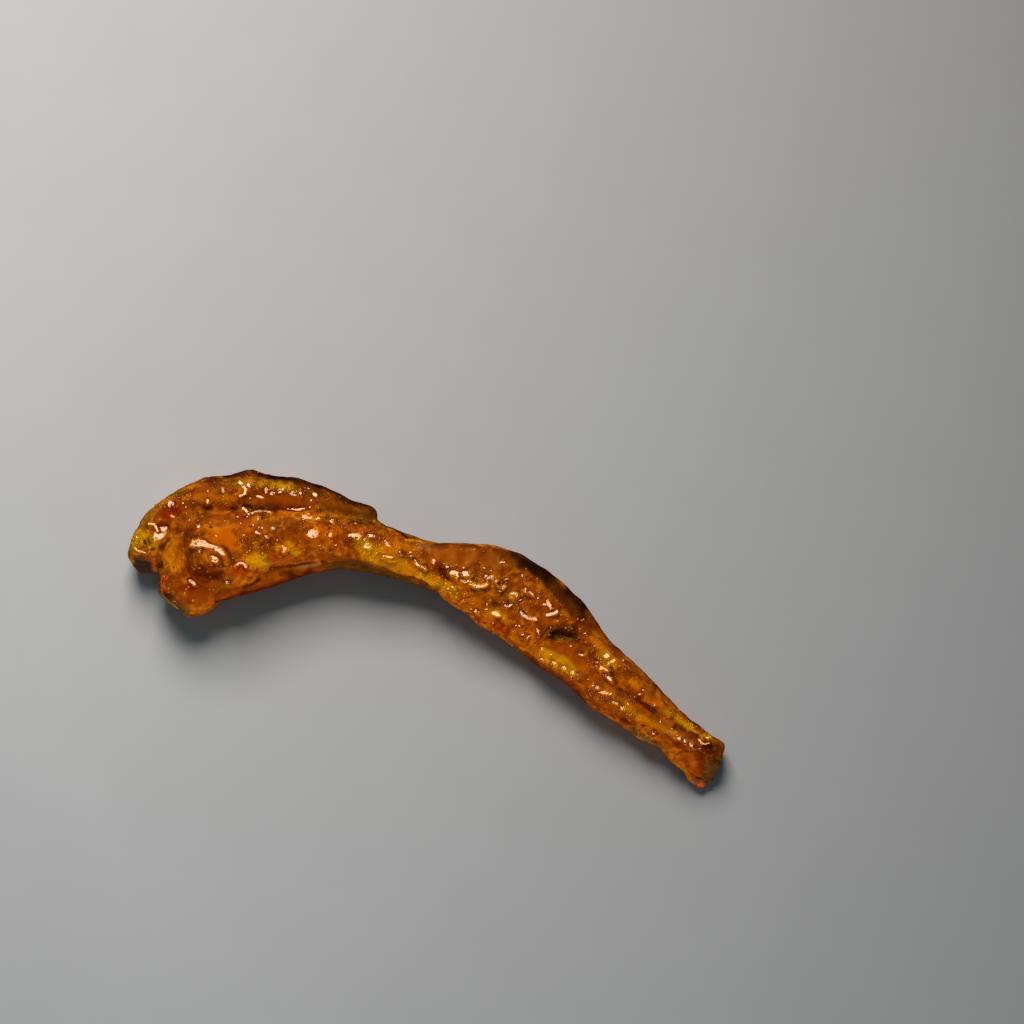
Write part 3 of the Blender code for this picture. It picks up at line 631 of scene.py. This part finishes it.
def values_of(items, name, width=3, kind=float):
    """What the items of a mesh hold under a name, one row of that many numbers for each."""
    values = np.empty(len(items) * width, dtype=kind)
    items.foreach_get(name, values)
    return values.reshape(-1, width)


def points_of(piece):
    return values_of(piece.data.vertices, "co")


def normals_of(piece):
    return values_of(piece.data.vertex_normals, "vector")


def keep_in_box(points):
    """The points, with none outside the part's own box."""
    return np.clip(points, np.array(CAD_LOW), np.array(CAD_HIGH))


def move_to(piece, points):
    piece.data.vertices.foreach_set("co", keep_in_box(points).ravel())
    piece.data.update()


def store(piece, name, values):
    """Stores a share or a colour for each point of a piece."""
    if values.ndim == 1:
        attribute = piece.data.attributes.new(name, "FLOAT", "POINT")
        attribute.data.foreach_set("value", values)
    else:
        attribute = piece.data.attributes.new(name, "FLOAT_COLOR", "POINT")
        attribute.data.foreach_set("color", np.column_stack([values, np.ones(len(values))]).ravel())


def to_scene(name, data):
    """A new object in the scene."""
    thing = bpy.data.objects.new(name, data)
    bpy.context.scene.collection.objects.link(thing)
    return thing


def tree_of(piece):
    return BVHTree.FromObject(piece, bpy.context.evaluated_depsgraph_get())


def smooth_over(piece, passes):
    """Smooths a piece, and keeps the result of all its modifiers as its mesh."""
    smooth = piece.modifiers.new("smooth", "SMOOTH")
    smooth.factor = 0.5
    smooth.iterations = passes
    graph = bpy.context.evaluated_depsgraph_get()
    piece.data = bpy.data.meshes.new_from_object(piece.evaluated_get(graph))
    piece.modifiers.clear()
    piece.data.shade_smooth()


def fine_copy(node, name, voxel, passes):
    """A fine even skin over a node of the part, with the solid's facets smoothed away."""
    copy = to_scene(name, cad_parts[node].data.copy())
    remesh = copy.modifiers.new("skin", "REMESH")
    remesh.mode = "VOXEL"
    remesh.voxel_size = voxel
    smooth_over(copy, passes)
    return copy


def refine(piece, chosen):
    """Cuts each edge whose two ends are chosen into two."""
    mesh = bmesh.new()
    mesh.from_mesh(piece.data)
    edges = [edge for edge in mesh.edges if chosen[edge.verts[0].index] and chosen[edge.verts[1].index]]
    bmesh.ops.subdivide_edges(mesh, edges=edges, cuts=1, use_grid_fill=True)
    mesh.to_mesh(piece.data)
    mesh.free()
    piece.data.shade_smooth()


def shows_from_above(piece, other):
    """Which points of a piece face up with nothing over them, of the piece itself or of the other."""
    points, normals = points_of(piece), normals_of(piece)
    trees = tree_of(piece), tree_of(other)
    up = Vector((0, 0, 1))
    shows = normals[:, 2] > STEEPEST
    for index in np.flatnonzero(shows):
        start = Vector(points[index] + normals[index] * OFF_SKIN)
        shows[index] = all(tree.ray_cast(start, up)[0] is None for tree in trees)
    return shows


def near_lines(points, lines):
    """1 on the lines, falling to 0 at their half width, seen through the lens."""
    seen = seen_at(points)
    near = np.zeros(len(points))
    for wide, *line in lines:
        near = np.maximum(near, 1 - smooth_step(off_line(seen, line, wide * PIXEL), *LINE_EDGE))
    return near


def calm_at(points):
    """1 where the sauce lies smooth, 0 where it is grainy."""
    return near_lines(points, CALM) * (points[:, 2] > CALM_FROM * CAD_HIGH[2])


def sculpt(piece, strokes, swell, rough):
    """Relief along the listed strokes, then lumps and crackle, all in millimetres."""
    points, normals = points_of(piece), normals_of(piece)
    upward = np.clip(normals[:, 2], 0, 1)
    warp = noise_pair(points, 4 * MM, 3.1, 7.7)
    seen = seen_at(points) + warp * STROKE_WARP
    uneven = 1 + STROKE_UNEVEN * noise_at(points, 3 * MM, 9.0)
    rise = np.zeros(len(points))
    for height, wide, *line in strokes:
        share = off_line(seen, line, wide * MM)
        rise += height * np.exp(-share * share) * upward * uneven
    rough = rough * (1 - CALM_SMOOTHS * calm_at(points))
    for index, (size, height) in enumerate(LUMPS):
        rise += height * noise_at(points, size * MM, 1.3 * index) * rough
    size, height = CRACKLE
    rise += height * cells_at(points + warp[:, [0, 1, 0]] * CRACKLE_WARP, size * MM) * rough
    move_to(piece, points + normals * (rise + swell)[:, None] * MM)


def is_streak(pool):
    return isinstance(pool[1], tuple)


def middle_of(pool):
    """The pixel in the middle of a pool or of a streak."""
    line = pool[1:]
    return line[len(line) // 2] if is_streak(pool) else pool[:2]


def pool_share(seen, pool, edge=POOL_EDGE, margin=0):
    """1 inside a pool and 0 outside it, with how far each point is from its centre."""
    if is_streak(pool):
        wide, *line = pool
        off = off_line(seen, line, (wide + margin) * PIXEL)
        away = seen - line_at_photo(line).mean(axis=0)
    else:
        px, py, long, wide, turn = pool
        away = seen - np.array(at_photo(px, py))
        angle = math.radians(turn)
        along = away[:, 0] * math.cos(angle) + away[:, 1] * math.sin(angle)
        across = away[:, 1] * math.cos(angle) - away[:, 0] * math.sin(angle)
        off = np.hypot(along / ((long + margin) * PIXEL), across / ((wide + margin) * PIXEL))
    return 1 - smooth_step(off, *edge), away


def facing_at(places):
    """Halfway between the lens and the softbox, as seen from each place."""
    return unit(unit(np.array(KEY_PLACE) - places) + unit(camera_place() - places))


def in_pools(piece):
    """Which points of a piece lie in a pool or next to one."""
    seen = seen_at(points_of(piece))
    return np.any([pool_share(seen, pool, margin=POOL_MARGIN)[0] > 0 for pool in POOLS + STREAKS], axis=0)


def lay_pools(pieces):
    """Levels small pools in the sauce so that they face halfway between the lens and the softbox.

    Gives back each piece's share of film and of oily sauce."""
    trees = [tree_of(piece) for piece in pieces]
    points = [points_of(piece) for piece in pieces]
    normals = [normals_of(piece) for piece in pieces]
    seen = [seen_at(each) + noise_pair(each, WAVER_SIZE, 51.0, 53.0) * WAVER_REACH for each in points]
    wet = [np.zeros((2, len(each))) for each in points]
    for pool in POOLS + STREAKS:
        middle = middle_of(pool)
        tops = [hit.z if hit else 0.0 for hit, _ in (under_pixel(tree, *middle) for tree in trees)]
        which = int(np.argmax(tops))
        height = points[which][:, 2]
        near = smooth_step(normals[which][:, 2], 0.0, 0.25) * (np.abs(height - tops[which]) < POOL_DEPTH)
        share, away = pool_share(seen[which], pool)
        share *= near
        if share.sum() == 0:
            continue
        facing = facing_at(np.array((*at_photo(*middle), tops[which])))
        fall = away @ facing[:2] / facing[2]
        level = np.quantile((height + fall)[share > 0.5 * share.max()], POOL_LEVEL) - fall
        slope = pool_share(seen[which], pool, POOL_SLOPE)[0] * near
        height += slope * POOL_HOLD * np.clip(level - height, -POOL_REACH, POOL_REACH)
        wet[which] = np.maximum(wet[which], [share, slope])
    for piece, each in zip(pieces, points):
        move_to(piece, each)
    return wet


def paint_bands(points, normals, tint, bands):
    """Lays the bands of colour over a tint, with ragged edges, on what faces up."""
    seen = seen_at(points)
    warp = noise_pair(points, 3 * MM, 13.0, 17.0)
    upward = smooth_step(normals[:, 2], -0.3, 0.05)
    for tone, strength, wide, *line in bands:
        ragged = seen + warp * min(BAND_WARP, 0.5 * wide * PIXEL)
        share = 1 - smooth_step(off_line(ragged, line, wide * PIXEL), *BAND_EDGE)
        tint = toward(tint, tone, share * strength * upward)
    return tint


def flecked(points, tint, size, shift, low, tone, strength):
    """The tint with flecks of a tone where noise of that size passes low."""
    return toward(tint, tone, smooth_step(noise_at(points, size * MM, shift), low, low + 0.2) * strength)


def hollow_depth(piece):
    """How far each point lies below its surroundings, averaged over HOLLOW_ROUNDS rings of neighbours."""
    points = points_of(piece)
    starts, others = values_of(piece.data.edges, "vertices", 2, int).T
    ends, neighbours = np.concatenate([starts, others]), np.concatenate([others, starts])
    count = np.bincount(ends, minlength=len(points))
    level = points.copy()
    for _ in range(HOLLOW_ROUNDS):
        sums = [np.bincount(ends, weights=level[neighbours, axis], minlength=len(level)) for axis in range(3)]
        level = 0.5 * level + 0.5 * np.stack(sums, axis=1) / np.maximum(count, 1)[:, None]
    return ((level - points) * normals_of(piece)).sum(axis=1)


def tint_meat(meat, oily):
    """The marinade's colour at each point, from the bands, the lumps, the hollows and the crests. The hollows
    are darker partly from sauce gathered there and partly from painted shade; the crests are paler with
    painted light.
    """
    points, normals = points_of(meat), normals_of(meat)
    broad = smooth_step(noise_at(points, 9 * MM, 21.0) + 0.5 * noise_at(points, 4 * MM, 23.0), -0.5, 0.5)
    tint = paint_bands(points, normals, toward(np.array(BROWN), AMBER, broad), MEAT_BANDS)
    far_side = smooth_step(normals[:, 1], 0.4, 0.95)
    tint = toward(tint, MAROON, CHARRING * far_side * smooth_step(noise_at(points, 6 * MM, 61.0), -0.2, 0.3))

    grainy = 1 - CALM_EVENS * calm_at(points)
    mottle = noise_at(points, 2.4 * MM, 31.0) + 0.6 * noise_at(points, 1.2 * MM, 37.0)
    shade = np.clip(0.97 + MOTTLE * mottle * grainy, 0.3, 1.7)[:, None]
    tint *= shade ** np.array(DARKER_IS_REDDER)
    light = smooth_step(tint[:, 0], 0.05, 0.3)
    tint = flecked(points, tint, 2.2, 41.0, 0.22, GOLD, 0.5 * grainy * light)
    tint = flecked(points, tint, 3.0, 43.0, 0.2, DARK, 0.5 * grainy)
    tint = flecked(points, tint, 1.3, 45.0, 0.25, DARK, 0.4 * grainy)

    # Darker hollows, partly sauce gathered there and partly painted shade, and paler crests, which are
    # painted light.
    depth = hollow_depth(meat) / MM
    hollow_shade = (smooth_step(depth, *HOLLOW_SHADE_DEPTH) * (1 - POOL_LIFTS * oily))[:, None]
    crest_light = smooth_step(-depth, *CREST_LIGHT_HEIGHT)[:, None]
    tint = tint * (1 - 0.78 * hollow_shade) + np.array(DARK) * 0.25 * hollow_shade
    tint = tint * (1 - 0.15 * crest_light) + np.array(AMBER) * 0.2 * crest_light
    return points, np.clip(tint, 0, 1)


class Nodes:
    """Short calls for a material's nodes. Where a value is asked for, a socket does too."""

    def __init__(self, name):
        self.material = bpy.data.materials.new(name)
        self.material.use_nodes = True
        self.tree = self.material.node_tree
        self.shader = self.tree.nodes["Principled BSDF"]
        self.place = self.add("ShaderNodeTexCoord").outputs["Object"]

    def feed(self, socket, value):
        if isinstance(value, bpy.types.NodeSocket):
            self.tree.links.new(value, socket)
        else:
            socket.default_value = value

    def add(self, kind, inputs=(), **values):
        """A node with those settings, and with its inputs by name or number."""
        node = self.tree.nodes.new(kind)
        for key, value in values.items():
            setattr(node, key, value)
        for key, value in dict(inputs).items():
            self.feed(node.inputs[key], value)
        return node

    def set(self, **values):
        """Sets the shader's sockets, by their names with _ for a space."""
        for key, value in values.items():
            self.feed(self.shader.inputs[key.replace("_", " ")], value)

    def stored(self, name, output):
        return self.add("ShaderNodeAttribute", attribute_name=name).outputs[output]

    def noise(self, size, detail=3.0, roughness=0.55):
        """Noise with lumps of that size in metres."""
        inputs = {"Vector": self.place, "Scale": 1 / size, "Detail": detail, "Roughness": roughness}
        return self.add("ShaderNodeTexNoise", inputs).outputs["Fac"]

    def ramp(self, value, low, high):
        """0 below low and 1 above high."""
        inputs = {"Value": value, "From Min": low, "From Max": high}
        return self.add("ShaderNodeMapRange", inputs, interpolation_type="SMOOTHSTEP").outputs["Result"]

    def times(self, a, b):
        return self.add("ShaderNodeMath", {0: a, 1: b}, operation="MULTIPLY").outputs[0]

    def mix(self, share, a, b):
        """Colour a, going to b as share goes to 1."""
        a, b = [(*value, 1.0) if isinstance(value, tuple) else value for value in (a, b)]
        return self.add("ShaderNodeMix", {0: share, 6: a, 7: b}, data_type="RGBA").outputs[2]

    def bump(self, height, distance, strength):
        inputs = {"Height": height, "Distance": distance, "Strength": strength}
        return self.add("ShaderNodeBump", inputs).outputs["Normal"]


def wet_material(name, wet=0.0, ripple=0.05):
    """Sauce in the stored tint, oily and golden where it catches the light, with a clear film where wet."""
    nodes = Nodes(name)
    grain = nodes.noise(0.8 * MM, 3, 0.65)
    grainy = nodes.stored("grainy", "Fac")
    light = nodes.times(nodes.times(nodes.ramp(grain, 0.54, 0.68), 0.3), grainy)
    dark = nodes.times(nodes.times(nodes.ramp(grain, 0.47, 0.34), 0.4), grainy)
    base = nodes.mix(light, nodes.stored("tint", "Color"), GOLD)
    nodes.set(
        Base_Color=nodes.mix(dark, base, DARK),
        Roughness=0.3,
        Specular_IOR_Level=0.4,
        Specular_Tint=(*OILY, 1.0),
        Subsurface_Weight=0.15,
        Subsurface_Radius=(1.0, 0.4, 0.1),
        Subsurface_Scale=0.8 * MM,
        Coat_Weight=wet,
        Coat_Roughness=0.04,
        Coat_IOR=1.54,
        Normal=nodes.bump(nodes.times(grain, grainy), 0.25 * MM, 0.9),
        Coat_Normal=nodes.bump(nodes.noise(1.3 * MM, 2.5, 0.6), 0.2 * MM, ripple),
    )
    return nodes


def skin_material():
    """The meat's marinade: pools of film, oily and shiny round them, duller between them."""
    nodes = wet_material("wet marinade", ripple=0.15)
    nodes.set(Coat_Weight=nodes.stored("wet", "Fac"), Roughness=nodes.stored("rough", "Fac"))
    return nodes


def glint_material():
    """Tiny facets of sauce that glint golden."""
    nodes = wet_material("golden glint")
    nodes.set(Roughness=0.12, Specular_IOR_Level=1.0, Specular_Tint=(*GLINT, 1.0))
    return nodes


def solid_material(name, tone):
    """A seed, flake or speck with a little variation in its tone, under a thin wet film."""
    nodes = Nodes(name)
    cloud = nodes.ramp(nodes.noise(0.9 * MM, 2), 0.3, 0.7)
    nodes.set(
        Base_Color=nodes.mix(cloud, tuple(0.6 * c for c in tone), tone),
        Roughness=0.5,
        Specular_IOR_Level=0.15,
        Specular_Tint=(*OILY, 1.0),
        Coat_Weight=0.08,
        Coat_Roughness=0.06,
        Normal=nodes.bump(nodes.noise(0.5 * MM, 2), 0.1 * MM, 0.6),
    )
    return nodes


def dress(piece, nodes, node=None):
    piece.data.materials.clear()
    piece.data.materials.append(nodes.material)
    if node:
        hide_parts(node)
    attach(piece, "root")
    PART.objects.link(piece)


def ball(divisions):
    """The points and triangles of a round pebble of radius 1."""
    mesh = bmesh.new()
    bmesh.ops.create_icosphere(mesh, subdivisions=divisions, radius=1.0)
    points = np.array([vertex.co[:] for vertex in mesh.verts])
    faces = np.array([[vertex.index for vertex in face.verts] for face in mesh.faces])
    mesh.free()
    return points, faces


def scatter_places(meat, count, draw, lowest=-0.2, lit=False):
    """Random places on the meat and their normals: fewer on steep, smooth and wet places, none on overhangs.

    Those asked for as lit come along the lines of GLEAMS, on what is turned towards the highlight."""
    mesh = meat.data
    mesh.calc_loop_triangles()
    corners = values_of(mesh.loop_triangles, "vertices", kind=int)
    points = points_of(meat)[corners]
    roughness = values_of(mesh.attributes["rough"].data, "value", 1)[corners, 0].mean(axis=1)
    cross = np.cross(points[:, 1] - points[:, 0], points[:, 2] - points[:, 0])
    chance = np.linalg.norm(cross, axis=1)
    normals = cross / np.maximum(chance, 1e-12)[:, None]
    middles = points.mean(axis=1)

    chance *= 1 - CALM_EMPTIES * calm_at(middles)
    chance *= at_least(STEEP_CHANCE, smooth_step(normals[:, 2], 0.1, 0.5))
    chance *= at_least(WET_CHANCE, smooth_step(roughness, SHINY + 0.02, SHINY + 0.15))
    chance[normals[:, 2] < lowest] = 0
    if lit:
        facing = (normals * facing_at(middles)).sum(axis=1)
        stray = STRAY_GLINTS * smooth_step(facing, 0.75, 0.97)
        chance *= stray + near_lines(middles, GLEAMS) * smooth_step(facing, 0.2, 0.8)
    picks = draw.choice(len(chance), count, p=chance / chance.sum())
    share = draw.dirichlet((1, 1, 1), count)
    return (points[picks] * share[:, :, None]).sum(axis=1), normals[picks]


def pebbles(name, places, normals, shape, sizes, draw, flat, long, sink, rough):
    """One mesh of many small bodies on a surface: sizes are radii, and the last four are shares of them."""
    base, faces = shape
    count = len(places)
    side = unit(np.cross(normals, draw.normal(size=(count, 3))))
    other = np.cross(normals, side)
    lumps = 1 + rough * draw.normal(size=(count, len(base), 1))
    local = base[None] * lumps * sizes[:, None, None]
    points = (
        places[:, None]
        + side[:, None] * local[:, :, 0:1] * long
        + other[:, None] * local[:, :, 1:2]
        + normals[:, None] * (local[:, :, 2:3] * flat - sizes[:, None, None] * sink)
    )
    points = keep_in_box(points.reshape(-1, 3))
    indices = (faces[None] + np.arange(count)[:, None, None] * len(base)).reshape(-1, 3)
    mesh = bpy.data.meshes.new(name)
    mesh.from_pydata(points.tolist(), [], indices.tolist())
    mesh.shade_smooth()
    return to_scene(name, mesh)


def under_pixels(meat, pixels):
    """The points of the meat that lie under those pixels, with its normals there."""
    tree = tree_of(meat)
    hits = [under_pixel(tree, px, py) for px, py in pixels]
    hits = [hit for hit in hits if hit[0]]
    return np.array([hit[0] for hit in hits]), np.array([hit[1] for hit in hits])


def make_small_things(meat, points, tints):
    """Lays the small things on the meat: some in the tint of the skin under them, the solids in their own."""
    draw = np.random.default_rng(7)
    tree = KDTree(len(points))
    for index, point in enumerate(points):
        tree.insert(point, index)
    tree.balance()
    tiny, coarse, fine = ball(1), ball(2), ball(3)

    def add_sauced(name, nodes, places, normals, shape, sizes, form):
        *proportions, darkest, lightest = form
        piece = pebbles(name, places, normals, shape, sizes, draw, *proportions)
        nearest = [tree.find(place)[1] for place in places]
        tint = tints[nearest] * draw.uniform(darkest, lightest, (len(places), 1))
        store(piece, "tint", np.clip(np.repeat(tint, len(shape[0]), axis=0), 0, 1))
        dress(piece, nodes)

    places, normals = scatter_places(meat, GRAIN_COUNT, draw)
    sizes = draw.uniform(*GRAIN_ROOTS, GRAIN_COUNT) ** 2 * MM
    add_sauced("spice_grains", wet_material("spice paste grain"), places, normals, tiny, sizes, GRAIN_FORM)

    places, normals = scatter_places(meat, BEAD_COUNT, draw, lowest=0.1)
    dropped, _ = under_pixels(meat, DROPS)
    leaning = unit(np.concatenate([normals + 0.5 * facing_at(places), facing_at(dropped)]))
    places = np.concatenate([places, dropped])
    sizes = draw.uniform(*BEAD_SIZE, BEAD_COUNT), draw.uniform(*DROP_SIZE, len(dropped))
    sizes = np.concatenate(sizes) * MM
    bead = wet_material("oily sauce bead", wet=1.0)
    add_sauced("oil_beads", bead, places, leaning, coarse, sizes, BEAD_FORM)

    places, normals = scatter_places(meat, GLINT_COUNT, draw, lowest=0.3, lit=True)
    facing = unit(facing_at(places) + 0.1 * draw.normal(size=normals.shape))
    sizes = draw.uniform(*GLINT_SIZE, GLINT_COUNT) * MM
    add_sauced("sauce_glints", glint_material(), places, facing, tiny, sizes, GLINT_FORM)

    for name, tone, low, high, flat, long, where in SOLIDS:
        if isinstance(where, int):
            places, normals = scatter_places(meat, where, draw)
            shape, lie = coarse, STREWN_LIE
        else:
            places, normals = under_pixels(meat, where)
            shape, lie = fine, PLACED_LIE
        sizes = draw.uniform(low, high, len(places)) * MM
        bodies = pebbles(name, places, normals, shape, sizes, draw, flat, long, *lie)
        dress(bodies, solid_material(name.replace("_", " "), tone))

    places, normals = under_pixels(meat, PALE_SEEDS)
    sizes = draw.uniform(*SEED_SIZE, len(places)) * MM
    add_sauced("pale_seeds", wet_material("sauced seed", wet=0.3), places, normals, fine, sizes, SEED_FORM)


def finish_meat(meat, film, oily):
    """Colours the meat, stores where it is wet, oily and grainy, and lays the small things on it."""
    points, tint = tint_meat(meat, oily)
    store(meat, "tint", tint)
    flanks = FLANK_FILM * (1 - smooth_step(normals_of(meat)[:, 2], 0.1, 0.6))
    faint, bright = FILM
    film = film * (faint + (bright - faint) * smooth_step(noise_at(points, 5 * MM, 81.0), -0.3, 0.4))
    store(meat, "wet", np.maximum(flanks, film))
    store(meat, "rough", DULL + (SHINY - DULL) * oily)
    patchy = at_least(0.25, smooth_step(noise_at(points, 6 * MM, 71.0), -0.25, 0.35))
    store(meat, "grainy", patchy * (1 - calm_at(points)))
    dress(meat, skin_material(), node="meat")
    make_small_things(meat, points, tint)


def finish_bone(bone):
    """Colours the bone, which is as grainy all over."""
    points = points_of(bone)
    tint = np.array(RUST) * (1 + 0.5 * noise_at(points, 4 * MM, 6.0))[:, None]
    tint = paint_bands(points, normals_of(bone), tint, BONE_BANDS)
    tint *= (1.0 + 0.5 * noise_at(points, 1.8 * MM, 8.0))[:, None]
    store(bone, "tint", np.clip(tint, 0, 1))
    store(bone, "grainy", np.full(len(points), BONE_GRAIN))
    dress(bone, wet_material("stained bone", wet=0.25), node="bone")


def make_rib():
    """The two skins, with their relief, the pools of sauce on them and their colours."""
    meat = fine_copy("meat", "marinated_skin", MEAT_VOXEL, MEAT_PASSES)
    bone = fine_copy("bone", "stained_bone", BONE_VOXEL, BONE_PASSES)
    refine(meat, shows_from_above(meat, bone))
    smooth_over(meat, FINE_PASSES)
    refine(meat, in_pools(meat) & shows_from_above(meat, bone))
    sculpt(meat, STROKES, MEAT_SWELL, MEAT_ROUGH)
    sculpt(bone, BONE_STROKES, BONE_SWELL, BONE_ROUGH)
    film, oily = lay_pools([meat, bone])[0]
    finish_meat(meat, film, oily)
    finish_bone(bone)


def make_floor():
    """A pale floor, darker towards the upper right, which is a painted fall-off of the light."""
    bpy.ops.mesh.primitive_plane_add(size=FLOOR_SIZE)
    floor = bpy.context.object
    floor.name = "floor"
    nodes = Nodes("pale floor")
    light_falloff = (-FLOOR_LIGHT_FALLOFF[0], -FLOOR_LIGHT_FALLOFF[1], 0)
    fall = nodes.add("ShaderNodeVectorMath", {0: nodes.place, 1: light_falloff}, operation="DOT_PRODUCT")
    tone = nodes.add("ShaderNodeMath", {0: fall.outputs["Value"], 1: FLOOR_TONE}, operation="ADD")
    limits = {"Value": tone.outputs[0], "Min": FLOOR_DARKEST, "Max": FLOOR_PALEST}
    tone = nodes.add("ShaderNodeClamp", limits)
    cloudy = nodes.mix(nodes.times(nodes.noise(25 * MM, 2), 0.05), tone.outputs[0], BLACK)
    tint = nodes.add("ShaderNodeVectorMath", {0: cloudy, 1: FLOOR_TINT}, operation="MULTIPLY")
    nodes.set(Base_Color=tint.outputs["Vector"], Roughness=0.75, Specular_IOR_Level=0.1)
    floor.data.materials.append(nodes.material)
    floor.visible_glossy = False


def make_light(name, place, size, power, colour):
    """A square softbox at that place, aimed at the part."""
    data = bpy.data.lights.new(name, "AREA")
    data.size = size
    data.energy = power
    data.color = colour
    light = to_scene(name, data)
    light.location = place
    light.rotation_euler = (-Vector(place)).to_track_quat("-Z", "Y").to_euler()
    return light


def light_scene():
    """The key gives the highlights and the shadow. The card lifts the part's near side, off the floor."""
    make_light("key softbox", KEY_PLACE, KEY_SIZE, KEY_POWER, KEY_COLOUR)
    card = make_light("bounce card", CARD_PLACE, CARD_SIZE, CARD_POWER, CARD_COLOUR)
    card.visible_glossy = False
    card.light_linking.receiver_collection = PART
    world = bpy.data.worlds.new("studio")
    world.use_nodes = True
    background = world.node_tree.nodes["Background"]
    background.inputs["Color"].default_value = (*ROOM_COLOUR, 1.0)
    background.inputs["Strength"].default_value = ROOM_LIGHT
    bpy.context.scene.world = world
    world.cycles_visibility.glossy = False


def make_camera():
    data = bpy.data.cameras.new("camera")
    data.sensor_width = SENSOR
    data.lens = SENSOR * CAMERA_HEIGHT / (PHOTO_SIZE * PIXEL)
    camera = to_scene("camera", data)
    camera.location = camera_place()
    bpy.context.scene.camera = camera
    bpy.context.scene.view_settings.view_transform = "Standard"


make_camera()
light_scene()
make_floor()
make_rib()
